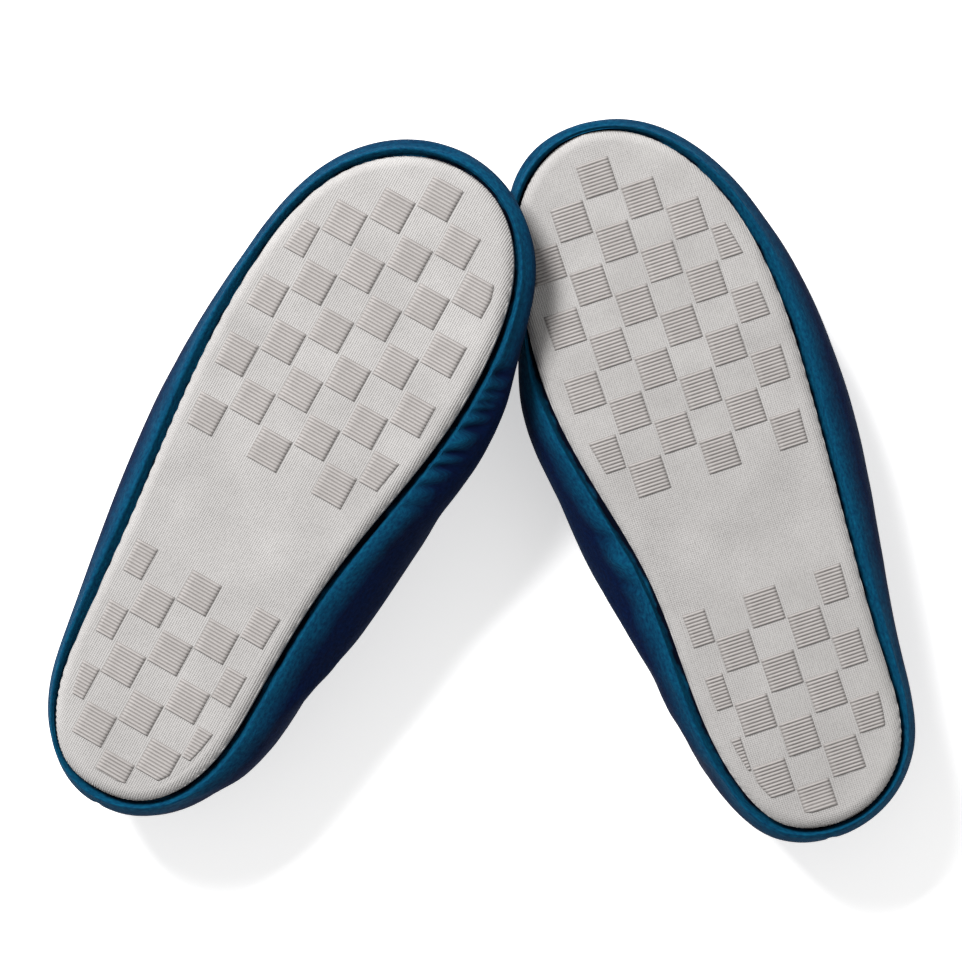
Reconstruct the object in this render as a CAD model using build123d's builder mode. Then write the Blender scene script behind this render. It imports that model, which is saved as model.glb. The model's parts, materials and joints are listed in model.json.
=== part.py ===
"""A pair of soft indoor slippers lying soles up, the right one leaning on the left one.

Each slipper is drawn in a frame of its own: the origin is the heel end of the sole's outer face,
+Y runs to the toe, +Z points out of the sole, and +X is the medial side of the right slipper.
The left slipper is the mirror image. All sizes are in millimetres.
"""

from build123d import *
from math import cos, hypot, radians, sin
import os

os.makedirs("parts", exist_ok=True)

# ---------------------------------------------------------------- driving dimensions
sole_edge_height = 6.0        # the cushioned sole stands this high over the upper's seam
sole_edge_radius = 4.0
edge_steps = 3                # bevels that make up a rounded edge
fabric_thickness = 1.2        # knitted outsole
velour_thickness = 1.5        # upper
lining_thickness = 1.3
layer_gap = 0.2               # air between layers that are only laid together
insole_thickness = 2.4
upper_depth = 60.0            # from the outsole's face to the collar
waist_y = 112.0               # the slipper folds here, across the unprinted waist
waist_gap = 0.2               # half of the parting between forefoot and heel pieces
seam_inset = 1.0              # the upper is sewn on this far inside the sole's edge

grip_width = 12.6             # one printed grip square
grip_length = 13.0
grip_thickness = 0.8
grip_column_pitch = 13.8
grip_row_pitch = 12.35
grip_margin = 6.0             # no print nearer than this to the sole's edge

binding_width = 4.5           # hem round the foot opening
binding_depth = 5.0
hem_wall = 1.2                # fabric round the elastic inside the hem

seam_width = 2.0              # the ridge of the centre heel seam
seam_relief = 0.6

sides = {"left": -1, "right": 1}

# each sole's outline: heel end, medial side, toe end, lateral side
sole_outlines = {
    "left": [
        (-1.5, -2), (16, 3.5), (27.5, 22.5), (33, 58), (35, 105), (43, 144), (49, 181), (47.5, 215),
        (40, 246), (25.5, 263.5), (8, 270), (-12.5, 264.5), (-31.5, 243.5), (-43.5, 203), (-44, 152),
        (-40.5, 97), (-38.5, 51.5), (-32, 14), (-17, 1),
    ],
    "right": [
        (-1.5, 0.5), (15.5, 4.5), (29.5, 22), (34.5, 58), (36.5, 105), (43, 144), (49, 181), (49, 215),
        (40.5, 246), (24.5, 262), (8, 266), (-10.5, 262), (-31.5, 243.5), (-43.5, 203), (-44, 152),
        (-39, 97), (-35.5, 52), (-27.5, 16), (-16, 3.5),
    ],
}
# each upper's widest outline, point by point beside the sole's
bulge_outlines = {
    "left": [
        (-1, -7.5), (20, -1), (36, 25), (43.5, 59), (52.5, 105.5), (58, 146), (59.5, 183), (56.5, 218),
        (45.5, 250), (29.5, 268), (8, 273.5), (-14.5, 269), (-37.5, 246.5), (-53.5, 205.5), (-58.5, 152),
        (-52.5, 96.5), (-46.5, 51.5), (-37.5, 12), (-20, -3.5),
    ],
    "right": [
        (-1, -6.5), (19.5, 0), (40, 23.5), (48.5, 58), (55, 105), (59.5, 146), (63.5, 183), (57.5, 218),
        (45.5, 250), (28, 265.5), (8, 271), (-13.5, 267.5), (-37.5, 246.5), (-50.5, 205), (-54.5, 152),
        (-50.5, 97), (-43.5, 52), (-32.5, 15), (-18, -0.5),
    ],
}
# the upper below its widest outline: depth, heel end, toe end, share of the full width
upper_levels = [
    (13, -6.5, 274.5, 1.00),
    (30, -5.0, 266.0, 0.97),
    (46, -2.0, 247.0, 0.90),
    (56, 2.0, 220.0, 0.80),
    (upper_depth, 6.0, 198.0, 0.70),
]
bulge_heel_y, bulge_toe_y = -6.5, 274.5
upper_centre_x = 3.0          # the upper narrows towards this line

# the foot opening: heel, medial side, throat, lateral side
opening_outline = [
    (2, 14), (17, 22), (25, 48), (26.5, 84), (20, 120), (3, 138), (-14, 120), (-21, 84), (-20, 48),
    (-13, 22),
]

# how far the medial side gives way, by outline point, where the two slippers press on each other
press_depths = {
    "left": {7: 8.0, 8: 3.5, 9: 1.0},
    "right": {6: 4.0, 7: 10.5, 8: 12.0, 9: 8.0, 10: 3.0},
}

# grip squares: the columns of each row, counted in column pitches from the row's middle one
forefoot_rows = [[0], [-1, 1]] + [[-2, 0, 2], [-3, -1, 1]] * 4
heel_rows = [[-2, 0, 2], [-1, 1]] * 3 + [[0]]
forefoot_first_row = (6.1, 253.2)
heel_first_row = (-2.2, 82.8)
forefoot_lean = 0.025         # columns move this much medially for each millimetre towards the heel
heel_lean = 0.05


# ---------------------------------------------------------------- outlines
def inset(outline, amount):
    """Move every point of a counter-clockwise outline inwards, square to its neighbours."""
    moved = []
    for i, (x, y) in enumerate(outline):
        ax, ay = outline[i - 1]
        bx, by = outline[(i + 1) % len(outline)]
        length = hypot(bx - ax, by - ay)
        moved.append((x - amount * (by - ay) / length, y + amount * (bx - ax) / length))
    return moved


def closed_curve(outline, side):
    """Draw one smooth closed curve in the current line; side -1 mirrors it for the left slipper."""
    Spline([(side * x, y) for x, y in outline], periodic=True)


def press(outline, give):
    """Push the medial points that lie against the other slipper inwards."""
    return [(x - give.get(i, 0), y) for i, (x, y) in enumerate(outline)]


def upper_outlines(foot, thickness, top):
    """The upper's outlines from the sole seam down to the collar, inside a wall of that thickness."""
    seam = inset(sole_outlines[foot], seam_inset + thickness * 1.2)
    give = press_depths[foot]
    bulge = bulge_outlines[foot]
    shoulder = [
        ((sx + bx) / 2, (sy + by) / 2)
        for (sx, sy), (bx, by) in zip(sole_outlines[foot], press(bulge, give if foot == "left" else {}))
    ]
    outlines = [(top, seam), (8 + thickness, inset(shoulder, thickness))]
    for depth, heel_y, toe_y, share in upper_levels:
        stretch = (toe_y - heel_y) / (bulge_toe_y - bulge_heel_y)
        level = [
            (upper_centre_x + (x - upper_centre_x) * share, heel_y + (y - bulge_heel_y) * stretch)
            for x, y in bulge
        ]
        if foot == "left" or depth > upper_levels[0][0]:
            level = press(level, give)
        floor_depth = min(depth, upper_depth - thickness)
        outlines.append((floor_depth, inset(level, thickness)))
    return outlines


# ---------------------------------------------------------------- building blocks
def upper_block(foot, thickness, top):
    """The upper's outer shape, or with a thickness the room inside a wall that thick."""
    with BuildPart() as block:
        for depth, outline in upper_outlines(foot, thickness, top):
            with BuildSketch(Plane.XY.offset(-depth)):
                with BuildLine():
                    closed_curve(outline, sides[foot])
                make_face()
        loft(ruled=True)
    return block.part


def plate(side, outline, bottom, top, edge_radius=0.0):
    """A flat layer of that outline; its upper edge may be rounded, in a few bevels."""
    levels = [(bottom, outline), (top - edge_radius, outline)]
    for step in range(1, edge_steps + 1):
        turn = radians(90 * step / edge_steps)
        drawn_in = inset(outline, edge_radius * (1 - cos(turn)))
        levels.append((top - edge_radius * (1 - sin(turn)), drawn_in))
    with BuildPart() as layer:
        for height, level in levels if edge_radius else [(bottom, outline), (top, outline)]:
            with BuildSketch(Plane.XY.offset(height)):
                with BuildLine():
                    closed_curve(level, side)
                make_face()
        loft(ruled=True)
    return layer.part


forefoot_cut = Plane(origin=(0, waist_y + waist_gap, 0), x_dir=(1, 0, 0), z_dir=(0, 1, 0))
heel_cut = Plane(origin=(0, waist_y - waist_gap, 0), x_dir=(1, 0, 0), z_dir=(0, 1, 0))


# ---------------------------------------------------------------- where each slipper lies
def lying_frame(heel_end, lean_degrees, toe_lift_degrees, medial_lift_degrees):
    """The frame of a slipper whose toe leans clockwise from +Y and which is tilted by two lifts."""
    lean, pitch, roll = (radians(a) for a in (lean_degrees, toe_lift_degrees, medial_lift_degrees))
    toe = Vector(sin(lean) * cos(pitch), cos(lean) * cos(pitch), sin(pitch))
    level_side = Vector(cos(lean), -sin(lean), 0)
    upright = level_side.cross(toe)
    across = level_side * cos(roll) + upright * sin(roll)
    return Plane(origin=heel_end, x_dir=across, z_dir=across.cross(toe))


frames = {
    "left": lying_frame((128.6, -125.5, 60.0), -18.5, 0.0, 0.0),
    "right": lying_frame((-142.6, -114.5, 61.1), 28.9, 4.2, 7.0),
}


def publish(piece, name, frame):
    """Lay a finished piece where its slipper lies, name it and write it."""
    with BuildPart() as laid:
        with Locations(frame.location):
            add(piece)
    laid.part.label = name
    export_step(laid.part, f"parts/{name}.step")


# ---------------------------------------------------------------- the pieces of one slipper
def build_outsole(foot, side, frame):
    """Knitted fabric drawn over the cushion, open below."""
    skin = plate(side, sole_outlines[foot], -sole_edge_height, 0, sole_edge_radius)
    hollow = plate(
        side, inset(sole_outlines[foot], fabric_thickness), -sole_edge_height - 1, -fabric_thickness,
        sole_edge_radius - fabric_thickness,
    )
    for part_name, cut, keep in (("forefoot", forefoot_cut, Keep.TOP), ("heel", heel_cut, Keep.BOTTOM)):
        with BuildPart() as outsole:
            add(skin)
            add(hollow, mode=Mode.SUBTRACT)
            split(bisect_by=cut, keep=keep)
        publish(outsole.part, f"{foot}_{part_name}_outsole", frame)


def build_foam(foot, side, frame):
    """The soft cushion inside the outsole fabric."""
    inside = inset(sole_outlines[foot], fabric_thickness + layer_gap)
    top = -fabric_thickness - layer_gap
    cushion = plate(side, inside, -sole_edge_height, top, sole_edge_radius - fabric_thickness - layer_gap)
    for part_name, cut, keep in (("forefoot", forefoot_cut, Keep.TOP), ("heel", heel_cut, Keep.BOTTOM)):
        with BuildPart() as foam:
            add(cushion)
            split(bisect_by=cut, keep=keep)
        publish(foam.part, f"{foot}_{part_name}_foam", frame)


def build_insole(foot, side, frame):
    """The sock that the foot stands on, inside the upper."""
    outline = inset(sole_outlines[foot], seam_inset + velour_thickness + lining_thickness + 1.4)
    top = -sole_edge_height - 2 * layer_gap
    sock = plate(side, outline, top - insole_thickness, top)
    for part_name, cut, keep in (("forefoot", forefoot_cut, Keep.TOP), ("heel", heel_cut, Keep.BOTTOM)):
        with BuildPart() as insole:
            add(sock)
            split(bisect_by=cut, keep=keep)
        publish(insole.part, f"{foot}_{part_name}_insole", frame)


def build_grip(foot, side, frame, part_name, rows, first_row, lean):
    """Printed rubber squares in a checkerboard, trimmed along the sole's edge."""
    field = plate(side, inset(sole_outlines[foot], grip_margin), 0, grip_thickness)
    with BuildPart() as grip:
        for i, columns in enumerate(rows):
            row_y = first_row[1] - i * grip_row_pitch
            row_x = first_row[0] + i * grip_row_pitch * lean
            centres = [(side * (row_x + column * grip_column_pitch), row_y) for column in columns]
            with BuildSketch():
                with Locations(*centres):
                    Rectangle(grip_width, grip_length)
            extrude(amount=grip_thickness)
        add(field, mode=Mode.INTERSECT)
    publish(grip.part, f"{foot}_{part_name}_grip_squares", frame)


def build_upper(foot, side, frame):
    """The velour upper and the lining inside it, both open at the collar."""
    seam_depth = sole_edge_height + layer_gap
    past_seam = seam_depth - 0.5
    outer = upper_block(foot, 0, seam_depth)
    velour_room = upper_block(foot, velour_thickness, past_seam)
    lining_skin = upper_block(foot, velour_thickness + layer_gap, seam_depth + layer_gap)
    foot_room = upper_block(foot, velour_thickness + layer_gap + lining_thickness, past_seam)
    hole_outline = inset(opening_outline, -binding_width - layer_gap)
    hole = plate(side, hole_outline, -upper_depth - 5, -upper_depth / 2)
    layers = (
        ("vamp", outer, velour_room, forefoot_cut, Keep.TOP),
        ("heel_quarter", outer, velour_room, heel_cut, Keep.BOTTOM),
        ("vamp_lining", lining_skin, foot_room, forefoot_cut, Keep.TOP),
        ("heel_lining", lining_skin, foot_room, heel_cut, Keep.BOTTOM),
    )
    for part_name, skin, room, cut, keep in layers:
        with BuildPart() as shell:
            add(skin)
            add(room, mode=Mode.SUBTRACT)
            add(hole, mode=Mode.SUBTRACT)
            split(bisect_by=cut, keep=keep)
        publish(shell.part, f"{foot}_{part_name}", frame)


def build_collar(foot, side, frame):
    """The hem round the foot opening and the elastic inside it."""
    hem_top = -upper_depth + binding_depth
    hem = plate(side, inset(opening_outline, -binding_width), -upper_depth, hem_top)
    opening = plate(side, opening_outline, -upper_depth - 1, hem_top + 1)
    channel = plate(
        side, inset(opening_outline, hem_wall - binding_width), hem_wall - upper_depth, hem_top - hem_wall
    )
    core = plate(
        side, inset(opening_outline, -hem_wall), hem_wall - upper_depth - 0.1, hem_top - hem_wall + 0.1
    )
    band = plate(
        side, inset(opening_outline, hem_wall + layer_gap - binding_width),
        hem_wall + layer_gap - upper_depth, hem_top - hem_wall - layer_gap,
    )
    band_core = plate(side, inset(opening_outline, -hem_wall - layer_gap), -upper_depth, hem_top)
    with BuildPart() as elastic_channel:
        add(channel)
        add(core, mode=Mode.SUBTRACT)
    for part_name, cut, keep in (("throat", forefoot_cut, Keep.TOP), ("heel_collar", heel_cut, Keep.BOTTOM)):
        with BuildPart() as binding:
            add(hem)
            add(opening, mode=Mode.SUBTRACT)
            add(elastic_channel.part, mode=Mode.SUBTRACT)
            split(bisect_by=cut, keep=keep)
        publish(binding.part, f"{foot}_{part_name}_binding", frame)
        with BuildPart() as elastic:
            add(band)
            add(band_core, mode=Mode.SUBTRACT)
            split(bisect_by=cut, keep=keep)
        publish(elastic.part, f"{foot}_{part_name}_elastic", frame)


def build_heel_seam(foot, side, frame):
    """The raised seam down the centre of the heel, from the sole's roll to the collar."""
    with BuildPart() as seam:
        for depth, outline in upper_outlines(foot, 0, sole_edge_height)[2:6]:
            heel_x, heel_y = outline[0]
            with BuildSketch(Plane.XY.offset(-depth)):
                with Locations((side * heel_x, heel_y - seam_relief / 2 - layer_gap)):
                    Rectangle(seam_width, seam_relief)
        loft(ruled=True)
    publish(seam.part, f"{foot}_heel_seam", frame)


for foot, side in sides.items():
    lying = frames[foot]
    build_outsole(foot, side, lying)
    build_foam(foot, side, lying)
    build_insole(foot, side, lying)
    build_grip(foot, side, lying, "forefoot", forefoot_rows, forefoot_first_row, forefoot_lean)
    build_grip(foot, side, lying, "heel", heel_rows, heel_first_row, heel_lean)
    build_upper(foot, side, lying)
    build_collar(foot, side, lying)
    build_heel_seam(foot, side, lying)
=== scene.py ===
"""A pair of soft slippers lying soles up: knit soles, rubber grip squares and velour uppers.

Each slipper is drawn in a frame of its own, in millimetres: the origin is the heel end of the sole's
outer face, +Y runs to the toe, +Z points out of the sole and +X is the medial side of the right
slipper. The left slipper is its mirror image. to_row() carries the points into the row frame.
"""

import json
import math

import bpy
import numpy as np
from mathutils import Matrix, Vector, noise


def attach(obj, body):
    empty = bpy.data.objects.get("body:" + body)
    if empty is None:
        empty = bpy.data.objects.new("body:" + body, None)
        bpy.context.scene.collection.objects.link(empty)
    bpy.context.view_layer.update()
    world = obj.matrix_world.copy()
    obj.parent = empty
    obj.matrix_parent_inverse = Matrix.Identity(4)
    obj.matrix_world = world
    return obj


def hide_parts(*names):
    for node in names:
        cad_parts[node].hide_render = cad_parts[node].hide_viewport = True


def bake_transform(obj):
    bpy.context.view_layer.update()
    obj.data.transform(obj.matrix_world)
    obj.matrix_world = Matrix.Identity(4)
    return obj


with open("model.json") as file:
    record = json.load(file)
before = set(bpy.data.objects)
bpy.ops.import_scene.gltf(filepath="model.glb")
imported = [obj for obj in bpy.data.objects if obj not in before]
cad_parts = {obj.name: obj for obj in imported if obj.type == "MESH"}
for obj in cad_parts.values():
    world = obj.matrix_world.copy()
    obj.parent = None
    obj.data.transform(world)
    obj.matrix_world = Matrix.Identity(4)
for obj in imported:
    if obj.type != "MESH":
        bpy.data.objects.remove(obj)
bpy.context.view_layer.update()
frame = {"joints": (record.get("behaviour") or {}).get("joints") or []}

MM = 0.001
FLOOR_GAP = 0.0002            # metres; nothing lies lower than this

# ---------------------------------------------------------------- driving dimensions, millimetres
SOLE_EDGE_HEIGHT = 6.0
SOLE_EDGE_RADIUS = 4.2
WAIST_Y = 112.0
FOLD_HEIGHT = 0.3             # the waist fold's axis lies this far above the sole's face
GRIP_WIDTH, GRIP_LENGTH = 12.6, 13.0
GRIP_COLUMN_PITCH, GRIP_ROW_PITCH = 13.8, 12.35
GRIP_MARGIN = 6.0
RIBS_PER_SQUARE = 10

TILTS = {"left": (-18.5, 0.0), "right": (28.9, 4.2)}   # lean and toe lift, degrees
SIDES = {"left": -1, "right": 1}

SOLE_OUTLINES = {
    "left": [
        (-1.5, -2), (16, 3.5), (27.5, 22.5), (33, 58), (35, 105), (43, 144), (49, 181), (47.5, 215),
        (40, 246), (25.5, 263.5), (8, 270), (-12.5, 264.5), (-31.5, 243.5), (-43.5, 203), (-44, 152),
        (-40.5, 97), (-38.5, 51.5), (-32, 14), (-17, 1),
    ],
    "right": [
        (-1.5, 0.5), (15.5, 4.5), (29.5, 22), (34.5, 58), (36.5, 105), (43, 144), (49, 181), (49, 215),
        (40.5, 246), (24.5, 262), (8, 266), (-10.5, 262), (-31.5, 243.5), (-43.5, 203), (-44, 152),
        (-39, 97), (-35.5, 52), (-27.5, 16), (-16, 3.5),
    ],
}
BULGE_OUTLINES = {
    "left": [
        (-1, -7.5), (20, -1), (36, 25), (43.5, 59), (52.5, 105.5), (58, 146), (59.5, 183), (56.5, 218),
        (45.5, 250), (29.5, 268), (8, 273.5), (-14.5, 269), (-37.5, 246.5), (-53.5, 205.5), (-58.5, 152),
        (-52.5, 96.5), (-46.5, 51.5), (-37.5, 12), (-20, -3.5),
    ],
    "right": [
        (-1, -6.5), (19.5, 0), (40, 23.5), (48.5, 58), (55, 105), (59.5, 146), (63.5, 183), (57.5, 218),
        (45.5, 250), (28, 265.5), (8, 271), (-13.5, 267.5), (-37.5, 246.5), (-50.5, 205), (-54.5, 152),
        (-50.5, 97), (-43.5, 52), (-32.5, 15), (-18, -0.5),
    ],
}
OPENING_OUTLINE = [
    (2, 14), (17, 22), (25, 48), (26.5, 84), (20, 120), (3, 138), (-14, 120), (-21, 84), (-20, 48),
    (-13, 22),
]
# the upper below its widest outline: depth, heel end, toe end, share of the full width
UPPER_LEVELS = [
    (30, -5.0, 266.0, 0.97), (46, -2.0, 247.0, 0.90), (56, 2.0, 220.0, 0.80), (59.6, 6.0, 198.0, 0.70),
]
BULGE_HEEL_Y, BULGE_TOE_Y, UPPER_CENTRE_X = -6.5, 274.5, 3.0
UPPER_DEPTH = 59.8            # the upper's outer face goes no deeper
VELOUR_THICKNESS, LINING_THICKNESS, LINING_GAP = 1.4, 1.2, 0.3
STEPS_PER_RING = 7            # rows between two rings of the upper
GROOVE_ROW = STEPS_PER_RING   # the row at the foot of the groove
LINING_ROW = 5 * STEPS_PER_RING    # the lining starts at the widest ring, under the roll
HEEL_SEAM_X = 1.0             # where the heel's seam runs, and how far its stitches lie beside it
STITCH_ASIDE = 1.5
# where the groove between sole and roll gapes on the medial side: its middle y and half length
GROOVE_GAPE = {"left": (135.0, 75.0), "right": (150.0, 80.0)}
RIM_OUTWARD = 4.8             # the upper ends this far outside the foot opening
HEM_OUTWARD, HEM_DEPTH = 2.25, 57.3     # the middle of the hem's tube
HEM_HALF_WIDTH, HEM_HALF_HEIGHT = 2.2, 2.3
# how far the medial side gives way, at the outline's points, where the slippers lie on each other
PRESS = {"left": {7: 8.0, 8: 3.5, 9: 1.0}, "right": {6: 4.0, 7: 10.5, 8: 12.0, 9: 8.0, 10: 3.0}}
# gathers on the medial side: where each valley, or ridge if its depth is negative, crosses the
# widest outline, its depth and its half width
GATHERS = {
    "left": [(112.0, 0.6, 3.0), (121.0, -0.6, 2.2), (131.0, 0.7, 3.2)],
    "right": [
        (154.0, 0.5, 1.8), (163.0, 0.9, 1.7), (171.5, 1.5, 1.7), (177.7, 1.7, 1.5), (183.5, -0.5, 1.6),
        (188.7, 1.6, 1.8), (195.0, 1.2, 1.3), (198.8, 0.9, 1.1), (202.8, 1.1, 1.2), (209.5, 1.4, 2.6),
    ],
}
# painted shade: the gathers' valleys take on the wall's painted darkening
GATHER_SHADE = 4.5            # the pile in a gather looks like that lower on the wall, times its depth
GATHER_SLANT = 0.55           # gathers run this far toeward for each millimetre outwards

FOREFOOT_ROWS = [[0], [-1, 1]] + [[-2, 0, 2], [-3, -1, 1]] * 4
HEEL_ROWS = [[-2, 0, 2], [-1, 1]] * 3 + [[0]]
FOREFOOT_FIRST, FOREFOOT_LEAN = (6.1, 253.2), 0.025
HEEL_FIRST, HEEL_LEAN = (-2.2, 82.8), 0.05

SEWN_PATH = 7.0               # the roll is held: cloth nearer to the seam than this doesn't move
SPARE_CLOTH = 0.014           # share by which the cloth is longer than its plain shape
CLOTH_PRESSURE = 0.4
CLOTH_FRAMES = 14
MOST_MOVE = 1.2               # cap on how far the cloth moves
CONTACT_ZONE = (200.0, 60.0)  # where the slippers lie on each other: its middle y and half length
EDGE_WIDTH = 14.0             # the sole's swells fade out over this width at its edge
AROUND = 560                  # samples round an outline


# ---------------------------------------------------------------- where each slipper lies
def lying_axes(foot):
    """The row-frame point and axes of a slipper, from its waist joint and its tilt."""
    joint = next(j for j in frame["joints"] if j["name"] == foot + "_waist_fold")
    lean, lift = (math.radians(a) for a in TILTS[foot])
    toe = Vector((math.sin(lean) * math.cos(lift), math.cos(lean) * math.cos(lift), math.sin(lift)))
    across = -Vector(joint["axis"])
    up = across.cross(toe)
    origin = Vector(joint["pos_m"]) - toe * (WAIST_Y * MM) - up * (FOLD_HEIGHT * MM)
    return np.array(origin), np.array([across, toe, up])


AXES = {foot: lying_axes(foot) for foot in SIDES}


def to_row(foot, points):
    """Local millimetres to row-frame metres; the left slipper is mirrored here."""
    origin, axes = AXES[foot]
    local = np.asarray(points, float) * (SIDES[foot], 1, 1)
    return origin + local.reshape(-1, 3) * MM @ axes


# ---------------------------------------------------------------- curves
def closed_spline(points, at):
    """A smooth closed curve through the points, read at places counted in points (0 to n)."""
    p = np.array(points, float)
    n = len(p)
    h = np.linalg.norm(np.roll(p, -1, 0) - p, axis=1)
    m = np.zeros((n, n))
    r = np.zeros((n, p.shape[1]))
    for i in range(n):
        a, b = h[i - 1], h[i]
        m[i, i - 1] += a
        m[i, i] += 2 * (a + b)
        m[i, (i + 1) % n] += b
        r[i] = 6 * ((p[(i + 1) % n] - p[i]) / b - (p[i] - p[i - 1]) / a)
    k = np.linalg.solve(m, r)
    at = np.asarray(at) % n
    i = np.floor(at).astype(int) % n
    j = (i + 1) % n
    s = (at - np.floor(at))[:, None]
    hh = h[i][:, None]
    a, b = (1 - s), s
    return a * p[i] + b * p[j] + ((a**3 - a) * k[i] + (b**3 - b) * k[j]) * hh**2 / 6


def even_places(points, count):
    """Places, counted in points, that are evenly spaced along the closed curve."""
    t = np.linspace(0, len(points), 4001)
    c = closed_spline(points, t)
    run = np.concatenate([[0], np.cumsum(np.linalg.norm(np.diff(c, axis=0), axis=1))])
    return np.interp(np.linspace(0, run[-1], count, endpoint=False), run, t)


def inset(curve, amount):
    """Move a densely sampled closed curve inwards (negative: outwards), square to itself."""
    d = np.roll(curve, -1, 0) - np.roll(curve, 1, 0)
    d /= np.linalg.norm(d, axis=1)[:, None]
    return curve + np.stack([-d[:, 1], d[:, 0]], 1) * np.asarray(amount).reshape(-1, 1)


PLACES = {foot: even_places(SOLE_OUTLINES[foot], AROUND) for foot in SIDES}
SOLES = {foot: closed_spline(SOLE_OUTLINES[foot], PLACES[foot]) for foot in SIDES}


def side_range(curve, y):
    """The curve's lateral and medial x at each y."""
    turned = np.roll(curve, -int(curve[:, 1].argmin()), 0)
    top = int(turned[:, 1].argmax())
    medial, lateral = turned[: top + 1], np.vstack([turned[top:], turned[:1]])[::-1]
    return np.interp(y, lateral[:, 1], lateral[:, 0]), np.interp(y, medial[:, 1], medial[:, 0])


def edge_distance(points, curve):
    """How far each point is from a densely sampled curve."""
    best = np.full(len(points), 1e9)
    for start in range(0, len(points), 4000):
        part = points[start : start + 4000]
        gap = ((part[:, None, :] - curve[None, :, :]) ** 2).sum(2).min(1)
        best[start : start + 4000] = np.sqrt(gap)
    return best


def smooth_noise(points, scale, seed):
    """Soft noise from -1 to 1 at each point; scale is its size in millimetres."""
    shift = Vector((seed * 17.3, seed * 5.1, seed * 9.7))
    return np.array([noise.noise(Vector(p) / scale + shift) for p in np.asarray(points, float)])


# ---------------------------------------------------------------- meshes
def mesh_piece(name, foot, points, faces, material, chart=None):
    """A smooth-shaded piece from local points; chart holds each point's flat place in metres."""
    placed = to_row(foot, points)
    placed[:, 2] = np.maximum(placed[:, 2], FLOOR_GAP)
    mesh = bpy.data.meshes.new(name)
    mesh.from_pydata(placed.tolist(), [], [tuple(int(i) for i in f) for f in faces])
    if SIDES[foot] < 0:
        mesh.flip_normals()
    mesh.validate()
    mesh.polygons.foreach_set("use_smooth", [True] * len(mesh.polygons))
    if chart is None:
        chart = np.asarray(points, float)[:, :2] * MM
    layer = mesh.uv_layers.new(name="cloth")
    corner = np.zeros(len(mesh.loops), int)
    mesh.loops.foreach_get("vertex_index", corner)
    layer.data.foreach_set("uv", np.asarray(chart, np.float32)[corner].ravel())
    mesh.materials.append(material)
    piece = bpy.data.objects.new(name, mesh)
    bpy.context.scene.collection.objects.link(piece)
    return piece


def band_faces(rows, columns, closed=True, offset=0, flip=False):
    """Quads of a grid of rows of points; closed joins the last column to the first."""
    faces = []
    for r in range(rows - 1):
        for c in range(columns if closed else columns - 1):
            d = (c + 1) % columns
            quad = (r * columns + c, r * columns + d, (r + 1) * columns + d, (r + 1) * columns + c)
            faces.append(tuple(q + offset for q in (quad[::-1] if flip else quad)))
    return faces


def across_waist(piece):
    """Bake the piece's placement into its mesh."""
    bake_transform(piece)


# ---------------------------------------------------------------- materials
class Shader:
    """A short way to lay out a material's nodes."""

    def __init__(self, name):
        self.material = bpy.data.materials.new(name)
        self.material.use_nodes = True
        self.tree = self.material.node_tree
        self.surface = self.tree.nodes["Principled BSDF"]

    def node(self, kind, inputs=(), **settings):
        made = self.tree.nodes.new("ShaderNode" + kind)
        for key, value in settings.items():
            setattr(made, key, value)
        for key, value in dict(inputs).items():
            socket = made.inputs[key]
            if isinstance(value, bpy.types.NodeSocket):
                self.tree.links.new(value, socket)
            else:
                socket.default_value = value
        return made

    def chart(self, scale=(1, 1, 1)):
        place = self.node("UVMap", uv_map="cloth").outputs[0]
        return self.node("Mapping", {"Vector": place, "Scale": scale}).outputs[0]

    def noise(self, vector, scale, detail=2.0, roughness=0.5):
        return self.node(
            "TexNoise", {"Vector": vector, "Scale": scale, "Detail": detail, "Roughness": roughness}
        ).outputs[0]

    def wave(self, vector, scale, distortion=0.0, detail=0.0, direction="X"):
        return self.node(
            "TexWave", {"Vector": vector, "Scale": scale, "Distortion": distortion, "Detail": detail},
            bands_direction=direction,
        ).outputs[1]

    def math(self, operation, a, b=0.0, c=0.0):
        return self.node("Math", {0: a, 1: b, 2: c}, operation=operation).outputs[0]

    def ramp(self, factor, *stops):
        made = self.node("ValToRGB", {0: factor})
        elements = made.color_ramp.elements
        while len(elements) < len(stops):
            elements.new(0.5)
        for element, (place, colour) in zip(elements, stops):
            element.position = place
            element.color = (*colour, 1)
        return made.outputs[0]

    def mix(self, factor, a, b, blend_type="MIX"):
        made = self.node("Mix", data_type="RGBA", blend_type=blend_type)
        for socket, value in ((made.inputs[0], factor), (made.inputs[6], a), (made.inputs[7], b)):
            if isinstance(value, bpy.types.NodeSocket):
                self.tree.links.new(value, socket)
            else:
                socket.default_value = value if isinstance(value, float) else (*value, 1)
        return made.outputs[2]

    def finish(self, colour, rough, height=None, distance=0.0005, strength=1.0, **sockets):
        for name, value in {"Base Color": colour, "Roughness": rough}.items():
            if isinstance(value, bpy.types.NodeSocket):
                self.tree.links.new(value, self.surface.inputs[name])
            else:
                self.surface.inputs[name].default_value = value if name == "Roughness" else (*value, 1)
        if height is not None:
            bump = self.node("Bump", {"Height": height, "Distance": distance, "Strength": strength})
            self.tree.links.new(bump.outputs[0], self.surface.inputs["Normal"])
        for name, value in sockets.items():
            self.surface.inputs[name.replace("_", " ")].default_value = value
        return self.material


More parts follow.
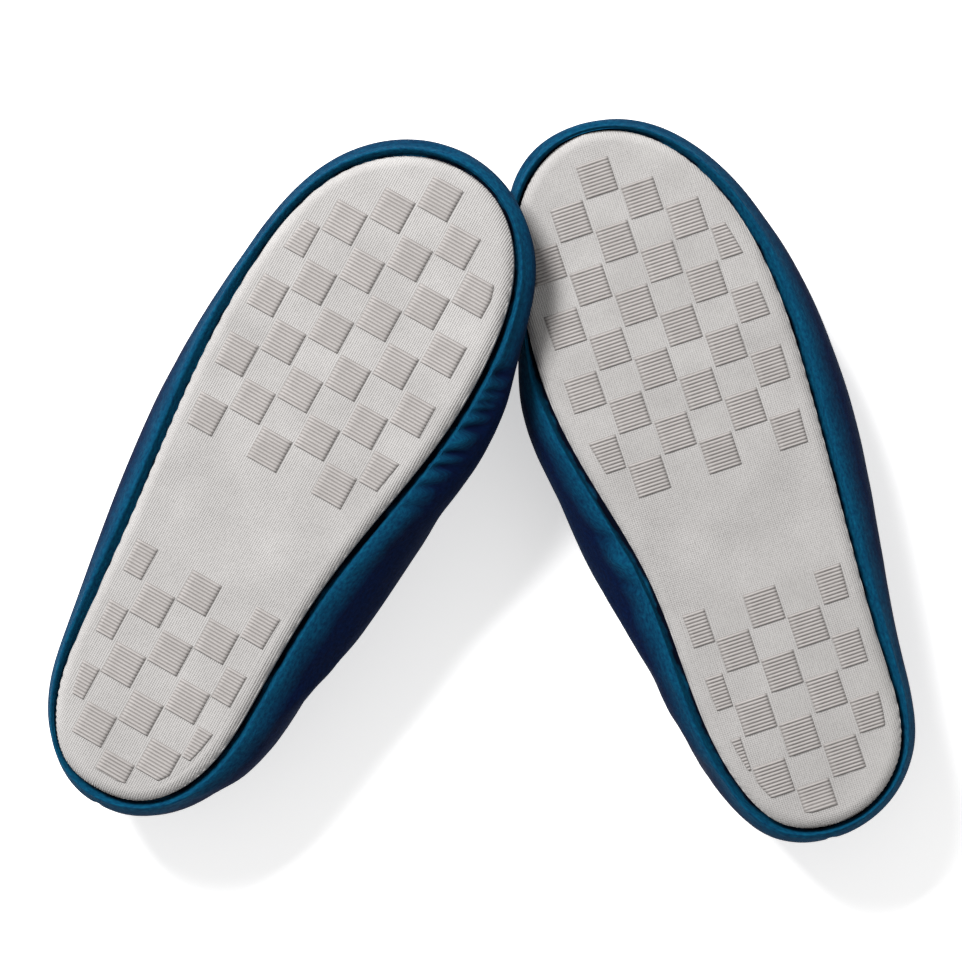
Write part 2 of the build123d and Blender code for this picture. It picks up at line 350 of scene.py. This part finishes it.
def knit_material():
    """Warm grey knit: fine wales along the slipper, stitches across them, a soft mottle and painted shade
    where its relief dips.
    """
    s = Shader("sole_knit")
    chart = s.chart()
    wales = s.wave(chart, 370.0, 0.8, 1.0)
    stitches = s.wave(chart, 430.0, 3.0, 2.0, "Y")
    grain = s.noise(s.chart((1, 0.5, 1)), 1500.0, 3.0, 0.65)
    mottle = s.noise(chart, 26.0, 3.0, 0.6)
    height = s.math("MULTIPLY_ADD", wales, 0.7, s.math("MULTIPLY_ADD", stitches, 0.25, grain))
    tone = s.ramp(mottle, (0.25, (0.325, 0.314, 0.307)), (0.75, (0.410, 0.398, 0.390)))
    # painted shade: the knit darkens where its relief dips
    dip_shade = s.ramp(height, (0.35, (0.74, 0.73, 0.72)), (1.25, (1.0, 1.0, 1.0)))
    colour = s.mix(0.85, tone, dip_shade, "MULTIPLY")
    return s.finish(colour, 0.9, height, 0.0004, 0.7, Specular_IOR_Level=0.2, Sheen_Weight=0.1)


def velour_material():
    """Petrol velour: short pile, mottled by the way it lies, with painted shade darkening it down the
    wall and painted near-black shade in the groove by the sole.
    """
    s = Shader("upper_velour")
    chart = s.chart()
    pile = s.noise(chart, 2600.0, 3.0, 0.7)
    lay = s.noise(s.chart((0.6, 1, 1)), 900.0, 3.0, 0.65)
    cloudy = s.noise(chart, 70.0, 3.0, 0.6)
    down = s.node("SeparateXYZ", {0: chart}).outputs[1]
    down = s.math("MULTIPLY_ADD", cloudy, 0.006, down)
    # painted shade: near is the velour's petrol colour and deep is a shaded navy copy of it; the colour
    # turns from near to deep between 8.5 and 19 mm down the cloth
    near = s.ramp(lay, (0.33, (0.0004, 0.026, 0.068)), (0.74, (0.0015, 0.076, 0.142)))
    deep = s.ramp(lay, (0.33, (0.0002, 0.0018, 0.015)), (0.74, (0.0004, 0.0065, 0.036)))
    colour = s.mix(s.node("MapRange", {0: down, 1: 0.0085, 2: 0.0190}).outputs[0], near, deep)
    # painted shade: cloth in the groove by the sole, less than 4.6 mm down the cloth, turns near black
    # and fades out by 6 mm
    groove_shade = s.node("MapRange", {0: down, 1: 0.0060, 2: 0.0046}).outputs[0]
    colour = s.mix(groove_shade, colour, (0.0002, 0.001, 0.006))
    height = s.math("MULTIPLY_ADD", lay, 0.8, pile)
    return s.finish(
        colour, 0.88, height, 0.0004, 0.5, Specular_IOR_Level=0.06, Sheen_Weight=0.03,
        Sheen_Roughness=0.5, Sheen_Tint=(0.05, 0.30, 0.55, 1),
    )


def rubber_material():
    """Soft grey print: painted shade between its ribs, blotchy, with a dull gloss."""
    s = Shader("grip_rubber")
    chart = s.chart()
    ribs = s.wave(chart, math.pi / 10 / (GRIP_LENGTH * MM / RIBS_PER_SQUARE), direction="Y")
    blotch = s.noise(chart, 60.0, 3.0, 0.6)
    grain = s.noise(chart, 1400.0, 3.0, 0.6)
    top = s.ramp(blotch, (0.3, (0.290, 0.272, 0.262)), (0.7, (0.352, 0.330, 0.320)))
    # painted shade: the print turns darker between its ribs
    colour = s.mix(s.ramp(ribs, (0.02, (1, 1, 1)), (0.5, (0, 0, 0))), top, (0.215, 0.200, 0.192))
    colour = s.mix(0.5, colour, s.ramp(grain, (0.3, (0.8, 0.8, 0.8)), (0.7, (1, 1, 1))), "MULTIPLY")
    return s.finish(colour, 0.62, grain, 0.0002, 0.5, Specular_IOR_Level=0.3)


def plush_material(name, dark, light, scale=900.0):
    """Short dense plush for the inside of the slipper."""
    s = Shader(name)
    chart = s.chart()
    tufts = s.noise(chart, scale, 3.0, 0.7)
    patches = s.noise(chart, 60.0, 2.0, 0.5)
    colour = s.mix(tufts, dark, light)
    colour = s.mix(0.4, colour, s.ramp(patches, (0.3, (0.6, 0.6, 0.6)), (0.7, (1, 1, 1))), "MULTIPLY")
    return s.finish(colour, 0.95, tufts, 0.0006, 0.7, Specular_IOR_Level=0.15, Sheen_Weight=0.4)


def foam_material():
    """Open-cell foam."""
    s = Shader("cushion_foam")
    cells = s.node("TexVoronoi", {"Vector": s.chart(), "Scale": 900.0}).outputs[0]
    colour = s.ramp(cells, (0.0, (0.42, 0.41, 0.36)), (0.6, (0.72, 0.71, 0.66)))
    return s.finish(colour, 0.95, cells, 0.0005, 0.8, Specular_IOR_Level=0.1)


def thread_material():
    """Twisted sewing thread."""
    s = Shader("seam_thread")
    twist = s.wave(s.chart(), 900.0, 0.5, 1.0, "DIAGONAL")
    colour = s.ramp(twist, (0.2, (0.002, 0.012, 0.04)), (0.8, (0.006, 0.035, 0.09)))
    return s.finish(colour, 0.7, twist, 0.0002, 0.6, Specular_IOR_Level=0.3)


def elastic_material():
    """Woven elastic: cross ribs over rubber cores."""
    s = Shader("elastic_band")
    ribs = s.wave(s.chart(), 330.0, 0.3, 1.0, "Y")
    colour = s.ramp(ribs, (0.1, (0.01, 0.015, 0.03)), (0.9, (0.04, 0.05, 0.09)))
    return s.finish(colour, 0.8, ribs, 0.0004, 0.8, Specular_IOR_Level=0.2)


KNIT, VELOUR, RUBBER, FOAM = knit_material(), velour_material(), rubber_material(), foam_material()
THREAD, ELASTIC = thread_material(), elastic_material()
LINING = plush_material("lining_plush", (0.002, 0.012, 0.035), (0.012, 0.05, 0.11))
INSOLE = plush_material("insole_plush", (0.004, 0.02, 0.05), (0.02, 0.07, 0.14), 600.0)


# ---------------------------------------------------------------- sole
# fine fold lines in the sole's fabric: how far in from the edge, depth, and from where to where along it
EDGE_FOLDS = {
    "left": [(4.6, 0.08, 30, 120)],
    "right": [(2.6, 0.10, 12, 112), (4.4, 0.16, 8, 104), (6.3, 0.10, 20, 88)],
}


def sole_relief(foot, xy):
    """Soft hollows and swells of the sole's face: the height above the flat, in millimetres."""
    seed = 3 if foot == "right" else 8
    flat = np.c_[xy, np.zeros(len(xy))]
    relief = 0.50 * smooth_noise(flat * (1, 0.7, 1), 34.0, seed)
    relief += 0.20 * smooth_noise(flat, 13.0, seed + 1)
    waist = np.exp(-(((xy[:, 1] - WAIST_Y) / 26) ** 2))
    relief += waist * (0.9 * smooth_noise(flat * (1, 0.8, 1), 19.0, seed + 2) - 0.5)
    return relief - 0.3


def layer_grid(curve, rows, columns):
    """A grid of points that fills an outline, closer together near its edge."""
    lo, hi = curve[:, 1].min(), curve[:, 1].max()
    y = lo + (hi - lo) * (1 - np.cos(np.pi * np.linspace(0.006, 0.994, rows))) / 2
    lateral, medial = side_range(curve, y)
    u = np.linspace(-1, 1, columns)
    u = np.sign(u) * (1 - (1 - np.abs(u)) ** 1.5)
    x = lateral[:, None] + (medial - lateral)[:, None] * (u[None, :] + 1) / 2
    return np.stack([x, np.repeat(y[:, None], columns, 1)], 2).reshape(-1, 2)


def rim_loop(rows, columns):
    """The indices round a grid's border, counter-clockwise from the heel's lateral corner."""
    heel = list(range(columns))
    medial = [r * columns + columns - 1 for r in range(1, rows)]
    toe = [(rows - 1) * columns + c for c in range(columns - 2, -1, -1)]
    lateral = [r * columns for r in range(rows - 2, 0, -1)]
    return heel + medial + toe + lateral


def closed_grid(top, bottom, rows, columns):
    """The points and faces of a closed layer between two grids."""
    n = rows * columns
    faces = band_faces(rows, columns, closed=False)
    faces += band_faces(rows, columns, closed=False, offset=n, flip=True)
    loop = rim_loop(rows, columns)
    faces += [(b, a, a + n, b + n) for a, b in zip(loop, loop[1:] + loop[:1])]
    return np.vstack([top, bottom]), faces


def soft_layer(name, foot, curve, top, bottom, radius, material, rows, columns, relief=1.0):
    """A closed soft layer of that outline with a rounded upper edge."""
    xy = layer_grid(curve, rows, columns)
    gap = edge_distance(xy, curve)
    rounding = np.clip(gap, 0, radius)
    height = top - radius + np.sqrt(np.clip(radius**2 - (radius - rounding) ** 2, 0, None))
    height += relief * sole_relief(foot, xy) * np.clip(gap / EDGE_WIDTH, 0, 1)
    for inward, deep, start, end in EDGE_FOLDS[foot]:
        along = np.clip((xy[:, 1] - start) / 14, 0, 1) * np.clip((end - xy[:, 1]) / 20, 0, 1)
        wander = inward + 0.5 * np.sin(xy[:, 1] / 9.0 + inward)
        height -= relief * deep * along * (xy[:, 0] > 0) * np.exp(-(((gap - wander) / 0.45) ** 2))
    lower = np.full(len(xy), float(bottom))
    points, faces = closed_grid(np.c_[xy, height], np.c_[xy, lower], rows, columns)
    return mesh_piece(name, foot, points, faces, material)


def make_sole(foot):
    """The knit outsole, the foam cushion in it and the insole under them."""
    sole = SOLES[foot]
    outsole = soft_layer(
        foot + "_outsole_fabric", foot, sole, 0.0, -SOLE_EDGE_HEIGHT, SOLE_EDGE_RADIUS, KNIT, 300, 120
    )
    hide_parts(foot + "_forefoot_outsole", foot + "_heel_outsole")
    cushion = soft_layer(
        foot + "_cushion", foot, inset(sole, 1.6), -1.8, -SOLE_EDGE_HEIGHT + 0.1, 2.6, FOAM, 120, 40
    )
    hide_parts(foot + "_forefoot_foam", foot + "_heel_foam")
    insole = soft_layer(foot + "_insole", foot, inset(sole, 5.4), -6.4, -8.8, 0.9, INSOLE, 120, 40, 0.0)
    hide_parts(foot + "_forefoot_insole", foot + "_heel_insole")
    for piece in (outsole, cushion, insole):
        across_waist(piece)


# ---------------------------------------------------------------- grip squares
def grip_square(foot, centre, limits, place):
    """One printed square with its cross ribs, trimmed to the limits of the printed field."""
    rows, columns = RIBS_PER_SQUARE * 5 + 1, 11
    first = max(0.0, (limits[:, 1].min() + 0.5 - centre[1]) / GRIP_LENGTH + 0.5)
    v = np.linspace(first, 1, rows)
    y = centre[1] + (v - 0.5) * GRIP_LENGTH
    lateral, medial = side_range(limits, y)
    left = np.clip(centre[0] - GRIP_WIDTH / 2, lateral, medial)
    right = np.clip(centre[0] + GRIP_WIDTH / 2, lateral, medial)
    u = np.linspace(0, 1, columns)
    x = left[:, None] + (right - left)[:, None] * u[None, :]
    xy = np.stack([x, np.repeat(y[:, None], columns, 1)], 2).reshape(-1, 2)
    rib = np.repeat((np.sin(np.pi * (v * RIBS_PER_SQUARE % 1.0)) ** 0.7)[:, None], columns, 1).ravel()
    wear = 0.12 * smooth_noise(np.c_[xy, np.zeros(len(xy))] * (0.5, 1, 1), 1.3, 5)
    edge = np.minimum.outer(np.minimum(v - first, 1 - v) * GRIP_LENGTH, np.minimum(u, 1 - u) * GRIP_WIDTH)
    height = (0.18 + 0.60 * rib + wear * rib) * np.clip(edge.ravel() / 0.5, 0.2, 1)
    ground = sole_relief(foot, xy) * np.clip(edge_distance(xy, SOLES[foot]) / EDGE_WIDTH, 0, 1)
    points, faces = closed_grid(np.c_[xy, ground + height], np.c_[xy, ground - 0.25], rows, columns)
    along = np.repeat((place[1] + v)[:, None] * GRIP_LENGTH, columns, 1).ravel()
    chart = np.c_[xy[:, 0] + place[0] * GRIP_WIDTH, along] * MM
    return points, faces, np.vstack([chart, chart])


def make_grip(foot, part, rows, first, lean):
    """All the printed squares of one half of the sole, as one piece."""
    limits = inset(SOLES[foot], GRIP_MARGIN)
    points, faces, charts, count = [], [], [], 0
    for i, columns in enumerate(rows):
        y = first[1] - i * GRIP_ROW_PITCH
        for column in columns:
            x = first[0] + i * GRIP_ROW_PITCH * lean + column * GRIP_COLUMN_PITCH
            p, f, chart = grip_square(foot, (x, y), limits, (column, i))
            points.append(p)
            charts.append(chart)
            faces += [tuple(k + count for k in quad) for quad in f]
            count += len(p)
    piece = mesh_piece(
        f"{foot}_{part}_grip", foot, np.vstack(points), faces, RUBBER, np.vstack(charts)
    )
    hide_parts(f"{foot}_{part}_grip_squares")
    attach(piece, f"{foot}_{part}")


# ---------------------------------------------------------------- upper
def pressed(points, give):
    """An outline whose medial side gives way where it lies against the other slipper."""
    return [(x - give.get(i, 0), y) for i, (x, y) in enumerate(points)]


def ring(curve, depth):
    """A flat curve at a depth, in millimetres."""
    return np.c_[curve, np.broadcast_to(-np.asarray(depth, float), len(curve))]


def opening_ring(foot, outward, depth):
    """A ring round the foot opening whose points run beside those of the sole's outline."""
    curve = closed_spline(OPENING_OUTLINE, even_places(OPENING_OUTLINE, AROUND))
    curve = np.roll(curve, -int(np.argmin(curve[:, 1])), 0)
    heel = int(SOLES[foot][:, 1].argmin())
    toe = (int(SOLES[foot][:, 1].argmax()) - heel) % AROUND
    throat = int(np.argmax(curve[:, 1]))
    wanted = np.interp(np.arange(AROUND), [0, toe, AROUND], [0, throat, AROUND])
    at = np.arange(AROUND + 1)
    x = np.interp(wanted, at, np.append(curve[:, 0], curve[0, 0]))
    y = np.interp(wanted, at, np.append(curve[:, 1], curve[0, 1]))
    return ring(inset(np.roll(np.c_[x, y], heel, 0), -outward), depth)


def upper_rings(foot):
    """The rings the upper runs through, from the sole seam over the roll and down to the collar."""
    sole, give, outline = SOLES[foot], PRESS[foot], BULGE_OUTLINES[foot]
    # the right slipper lies on top, and only its wall further down gives way
    bulge = closed_spline(pressed(outline, give) if foot == "left" else outline, PLACES[foot])
    width = np.linalg.norm(bulge - sole, axis=1)
    reach = (bulge - sole) / width[:, None]
    roll = np.minimum(0.42 * width, 3.6)[:, None]
    gape = np.clip(sole[:, 0] / 20, 0, 1) * bump(sole[:, 1], *GROOVE_GAPE[foot])
    rings = [
        ring(inset(sole, 1.4), 6.4),
        ring(inset(sole, -0.6 - 1.0 * gape), 6.8),
        ring(sole + reach * (0.60 * roll + 0.5 * gape[:, None]), 5.2),
        ring(sole + reach * (1.05 * roll), 3.5),
        ring(sole + reach * (0.60 * width)[:, None], 3.4 + 0.22 * width),
        ring(bulge, 9.5 + 0.40 * width),
    ]
    for depth, heel_y, toe_y, share in UPPER_LEVELS:
        stretch = (toe_y - heel_y) / (BULGE_TOE_Y - BULGE_HEEL_Y)
        level = [
            (UPPER_CENTRE_X + (x - UPPER_CENTRE_X) * share, heel_y + (y - BULGE_HEEL_Y) * stretch)
            for x, y in outline
        ]
        rings.append(ring(closed_spline(pressed(level, give), PLACES[foot]), depth))
    rim = opening_ring(foot, RIM_OUTWARD, 59.0)
    middle = (rings[-1] + rim) / 2
    middle[:, 2] = -59.7
    return np.array(rings + [middle, rim])


def through_rings(rings, steps):
    """Fill the space between rings with smooth rows."""
    p = np.concatenate([[2 * rings[0] - rings[1]], rings, [2 * rings[-1] - rings[-2]]])
    rows = []
    for a, b, c, d in zip(p, p[1:], p[2:], p[3:]):
        for s in np.linspace(0, 1, steps, endpoint=False):
            curl = (2 * a - 5 * b + 4 * c - d) * s**2 + (3 * b - a - 3 * c + d) * s**3
            rows.append(0.5 * (2 * b + (c - a) * s + curl))
    return np.array(rows + [rings[-1]])


def grid_normals(grid):
    """Outward normals of a closed band of rows."""
    around = np.roll(grid, -1, 1) - np.roll(grid, 1, 1)
    n = np.cross(around, -np.gradient(grid, axis=0))
    return n / np.maximum(np.linalg.norm(n, axis=2), 1e-9)[:, :, None]


def band_chart(grid):
    """Flat cloth coordinates in metres: along the edge, and down the path from the first row."""
    step = np.linalg.norm(np.diff(grid, axis=0), axis=2)
    depth = np.vstack([np.zeros(grid.shape[1]), np.cumsum(step, axis=0)])
    edge = np.linalg.norm(np.diff(grid[0], axis=0), axis=1)
    run = np.concatenate([[0], np.cumsum(edge)])
    return np.stack([np.broadcast_to(run, depth.shape), depth], 2) * MM


def bump(values, centre, half_width):
    """A smooth hump, 1 at its centre."""
    return np.exp(-(((values - centre) / half_width) ** 2))


def lateral_share(x):
    """From 0 on the medial side to 1 on the lateral side, where the cloth lies tauter."""
    return np.clip((5 - x) / 20, 0, 1)


def folds(foot, grid, path):
    """How far the cloth stands out from its plain shape, and how deep it lies in its gathers."""
    rows, columns, _ = grid.shape
    flat = grid.reshape(-1, 3)
    seed = 21 if foot == "right" else 34
    soft = 0.6 * smooth_noise(flat * (1, 0.8, 0.6), 27.0, seed)
    soft += 0.12 * smooth_noise(flat * (1, 1, 0.5), 9.0, seed + 1)
    x, y = grid[:, :, 0], grid[:, :, 1]
    out = soft.reshape(rows, columns) * np.clip((path - SEWN_PATH) / 14, 0, 1)
    out *= 1 - 0.6 * lateral_share(x)
    medial = np.clip((x - 20) / 10, 0, 1)
    edge_x = np.interp(y[0], *np.array([(p[1], p[0]) for p in BULGE_OUTLINES[foot][:9]]).T)
    lane = y - GATHER_SLANT * (x - edge_x[None, :])
    reach = np.clip((path - 4.0) / 4.5, 0, 1) * np.clip((17.5 - path) / 7, 0, 1)
    gathered = sum(deep * bump(lane, at, half) for at, deep, half in GATHERS[foot]) * reach * medial
    out -= 0.7 * bump(x, HEEL_SEAM_X, 1.3) * (y < 20) * np.clip((path - 9) / 6, 0, 1)
    return out - gathered, gathered


def settled(foot, grid, path):
    """Let the upper's cloth settle: sewn at the roll and the collar, a little long in between."""
    rows, columns, _ = grid.shape
    thin = np.append(np.arange(0, rows - 1, 2), rows - 1)
    coarse = grid[thin, ::2]
    n_rows, n_columns = coarse.shape[:2]
    start = to_row(foot, coarse)
    mesh = bpy.data.meshes.new("cloth")
    mesh.from_pydata(start.tolist(), [], band_faces(n_rows, n_columns, flip=SIDES[foot] > 0))
    cloth = bpy.data.objects.new("cloth", mesh)
    bpy.context.scene.collection.objects.link(cloth)
    held = cloth.vertex_groups.new(name="held")
    sewn = (path[thin, ::2] < SEWN_PATH) | (np.arange(n_rows)[:, None] >= n_rows - 3)
    held.add(np.flatnonzero(sewn.ravel()).tolist(), 1.0, "REPLACE")
    settle = cloth.modifiers.new("settle", "CLOTH")
    how = settle.settings
    how.vertex_group_mass = "held"
    how.quality, how.mass = 6, 0.25
    how.tension_stiffness = how.compression_stiffness = 12
    how.shear_stiffness, how.bending_stiffness = 6, 0.4
    how.shrink_min = -SPARE_CLOTH
    how.use_pressure, how.uniform_pressure_force = True, CLOTH_PRESSURE
    how.effector_weights.gravity = 0.0
    settle.point_cache.frame_start, settle.point_cache.frame_end = 1, CLOTH_FRAMES
    for moment in range(1, CLOTH_FRAMES + 1):
        bpy.context.scene.frame_set(moment)
    shown = cloth.evaluated_get(bpy.context.evaluated_depsgraph_get())
    end = np.zeros(len(start) * 3)
    shown.data.vertices.foreach_get("co", end)
    bpy.context.scene.frame_set(1)
    bpy.data.objects.remove(cloth)
    bpy.data.meshes.remove(mesh)
    moved = (end.reshape(-1, 3) - start) @ AXES[foot][1].T / MM * (SIDES[foot], 1, 1)
    far = np.linalg.norm(moved, axis=1)
    moved *= (np.minimum(far, MOST_MOVE) / np.maximum(far, 1e-9))[:, None]
    moved = moved.reshape(n_rows, n_columns, 3)
    for _ in range(4):
        moved = (np.roll(moved, 1, 1) + 2 * moved + np.roll(moved, -1, 1)) / 4
    moved = np.array([
        [np.interp(np.arange(rows), thin, moved[:, c, k]) for c in range(n_columns)] for k in range(3)
    ]).transpose(2, 1, 0)
    fine = np.repeat(moved, 2, axis=1)
    fine[:, 1::2] = (moved + np.roll(moved, -1, 1)) / 2
    x, y = grid[:, :, 0], grid[:, :, 1]
    leaning = np.clip((x - 15) / 15, 0, 1) * bump(y, *CONTACT_ZONE)
    return grid + fine * ((1 - leaning) * (1 - 0.65 * lateral_share(x)))[:, :, None]


def thick_band(name, foot, grid, thickness, material, chart):
    """A closed shell round a band of rows: outer skin, inner skin and both edges."""
    rows, columns, _ = grid.shape
    inner = grid - grid_normals(grid) * thickness
    n = rows * columns
    faces = band_faces(rows, columns, flip=True) + band_faces(rows, columns, offset=n)
    for r in (0, rows - 1):
        for c in range(columns):
            d = (c + 1) % columns
            quad = (r * columns + c, r * columns + d, r * columns + d + n, r * columns + c + n)
            faces.append(quad if r == 0 else quad[::-1])
    points = np.vstack([grid.reshape(-1, 3), inner.reshape(-1, 3)])
    flat = chart.reshape(-1, 2)
    return mesh_piece(name, foot, points, faces, material, np.vstack([flat, flat]))


def make_upper(foot):
    """The velour upper and the lining inside it; returns the rows of the upper's outer face."""
    grid = through_rings(upper_rings(foot), STEPS_PER_RING)
    chart = band_chart(grid)
    chart[:, :, 1] -= chart[GROOVE_ROW, :, 1] - 0.002
    path = chart[:, :, 1] / MM
    out, gathered = folds(foot, grid, path)
    grid = grid + grid_normals(grid) * out[:, :, None]
    grid = settled(foot, grid, path)
    grid[:, :, 2] = np.maximum(grid[:, :, 2], -UPPER_DEPTH)
    # painted shade: each gather's valley moves down the chart, into the wall's painted darkening, by its
    # depth times GATHER_SHADE
    chart[:, :, 1] += GATHER_SHADE * gathered * MM
    velour = thick_band(foot + "_velour_upper", foot, grid, VELOUR_THICKNESS, VELOUR, chart)
    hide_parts(foot + "_vamp", foot + "_heel_quarter")
    inside = (grid - grid_normals(grid) * (VELOUR_THICKNESS + LINING_GAP))[LINING_ROW::2, ::2]
    chart = chart[LINING_ROW::2, ::2]
    lining = thick_band(foot + "_lining", foot, inside, LINING_THICKNESS, LINING, chart)
    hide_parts(foot + "_vamp_lining", foot + "_heel_lining")
    for piece in (velour, lining):
        across_waist(piece)
    return grid


def tube(rings):
    """The faces of a closed tube: each ring is a section, and the last joins the first."""
    sections, around = len(rings), len(rings[0])
    faces = []
    for r in range(sections):
        for c in range(around):
            d, e = (c + 1) % around, (r + 1) % sections
            faces.append((r * around + c, r * around + d, e * around + d, e * around + c))
    return faces


def make_collar(foot):
    """The gathered hem round the foot opening and the elastic in it."""
    centre = opening_ring(foot, HEM_OUTWARD, HEM_DEPTH)
    outward = opening_ring(foot, HEM_OUTWARD + 1, HEM_DEPTH) - centre
    run = 2 * np.pi * np.arange(AROUND) / AROUND
    gather = 0.6 * np.sin(71 * run) + 0.4 * np.sin(43 * run + 1.0)
    rows = []
    for turn in np.linspace(0, 2 * np.pi, 14, endpoint=False):
        row = centre + outward * (HEM_HALF_WIDTH * np.cos(turn) * (1 + 0.07 * gather))[:, None]
        row[:, 2] += HEM_HALF_HEIGHT * np.sin(turn) * (1 + 0.09 * gather)
        rows.append(row)
    rows = np.array(rows)
    chart = band_chart(rows).reshape(-1, 2)
    hem = mesh_piece(foot + "_collar_hem", foot, rows.reshape(-1, 3), tube(rows), VELOUR, chart)
    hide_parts(foot + "_throat_binding", foot + "_heel_collar_binding")
    corners = ((1.4, 58.2), (3.1, 58.2), (3.1, 56.4), (1.4, 56.4))
    rows = np.array([opening_ring(foot, outward, depth)[::2] for outward, depth in corners])
    chart = band_chart(rows).reshape(-1, 2)
    elastic = mesh_piece(foot + "_collar_elastic", foot, rows.reshape(-1, 3), tube(rows), ELASTIC, chart)
    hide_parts(foot + "_throat_elastic", foot + "_heel_collar_elastic")
    for piece in (hem, elastic):
        across_waist(piece)


def heel_line(grid, x):
    """Where a line of that x runs down the upper's outer face at the heel."""
    line = []
    for row in grid:
        back = row[row[:, 1] < 30]
        back = back[np.argsort(back[:, 0])]
        line.append([x, np.interp(x, back[:, 0], back[:, 1]), np.interp(x, back[:, 0], back[:, 2])])
    line = np.array(line)
    return line[(line[:, 2] < -17) & (line[:, 2] > -52)]


def make_heel_seam(foot, grid):
    """Two rows of short stitches beside the seam's valley, down the middle of the heel."""
    points, faces = [], []
    length, pitch, sections, around = 2.2, 3.0, 7, 8
    for aside in (-STITCH_ASIDE, STITCH_ASIDE):
        line = heel_line(grid, HEEL_SEAM_X + aside)
        run = np.concatenate([[0], np.cumsum(np.linalg.norm(np.diff(line, axis=0), axis=1))])
        for start in np.arange(1.0, run[-1] - length, pitch):
            base = len(points)
            for i in range(sections):
                at = start + length * i / (sections - 1)
                x, y, z = (np.interp(at, run, line[:, k]) for k in range(3))
                radius = 0.30 * math.sin(math.pi * (0.12 + 0.76 * i / (sections - 1)))
                for k in range(around):
                    turn = 2 * math.pi * k / around
                    points.append((x + radius * math.cos(turn), y - 0.12 + radius * math.sin(turn), z))
            for i in range(sections - 1):
                for k in range(around):
                    a, b = base + i * around + k, base + i * around + (k + 1) % around
                    faces.append((a, a + around, b + around, b))
            faces.append(tuple(base + k for k in range(around)))
            faces.append(tuple(base + (sections - 1) * around + k for k in range(around))[::-1])
    seam = mesh_piece(foot + "_heel_stitches", foot, np.array(points), faces, THREAD)
    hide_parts(foot + "_heel_seam")
    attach(seam, foot + "_heel")


for foot in SIDES:
    make_sole(foot)
    make_grip(foot, "forefoot", FOREFOOT_ROWS, FOREFOOT_FIRST, FOREFOOT_LEAN)
    make_grip(foot, "heel", HEEL_ROWS, HEEL_FIRST, HEEL_LEAN)
    make_heel_seam(foot, make_upper(foot))
    make_collar(foot)


# ---------------------------------------------------------------- floor, light and camera
# the floor glows a little, so that shadows on it stay pale
PALE_FLOOR = Shader("studio_floor").finish(
    (0.92, 0.92, 0.92), 0.9, Emission_Color=(1, 1, 1, 1), Emission_Strength=0.5
)
bpy.ops.mesh.primitive_plane_add(size=14, location=(0, 0, -FLOOR_GAP))
floor = bpy.context.object
floor.name = "studio_floor"
floor.data.materials.append(PALE_FLOOR)


def area_light(name, place, size, power):
    """A square lamp that faces the slippers."""
    data = bpy.data.lights.new(name, "AREA")
    data.size, data.energy = size, power
    lamp = bpy.data.objects.new(name, data)
    lamp.location = place
    lamp.rotation_euler = (-Vector(place)).to_track_quat("-Z", "Y").to_euler()
    bpy.context.scene.collection.objects.link(lamp)


area_light("key", (-0.75, 1.0, 1.45), 0.6, 62)
area_light("fill", (1.6, -1.3, 2.4), 2.2, 10)

world = bpy.data.worlds.new("studio")
world.use_nodes = True
world.node_tree.nodes["Background"].inputs[0].default_value = (1, 1, 1, 1)
world.node_tree.nodes["Background"].inputs[1].default_value = 0.42
bpy.context.scene.world = world
bpy.context.scene.view_settings.view_transform = "Standard"

VIEW_WIDTH = 0.356            # metres across the picture at the soles' height
SOLES_HEIGHT = 0.062          # metres
LENS, SENSOR = 170.0, 36.0
camera_data = bpy.data.cameras.new("camera")
camera_data.lens, camera_data.sensor_width = LENS, SENSOR
camera = bpy.data.objects.new("camera", camera_data)
camera.location = (-0.0005, 0.0003, SOLES_HEIGHT + VIEW_WIDTH * LENS / SENSOR)
bpy.context.scene.collection.objects.link(camera)
bpy.context.scene.camera = camera
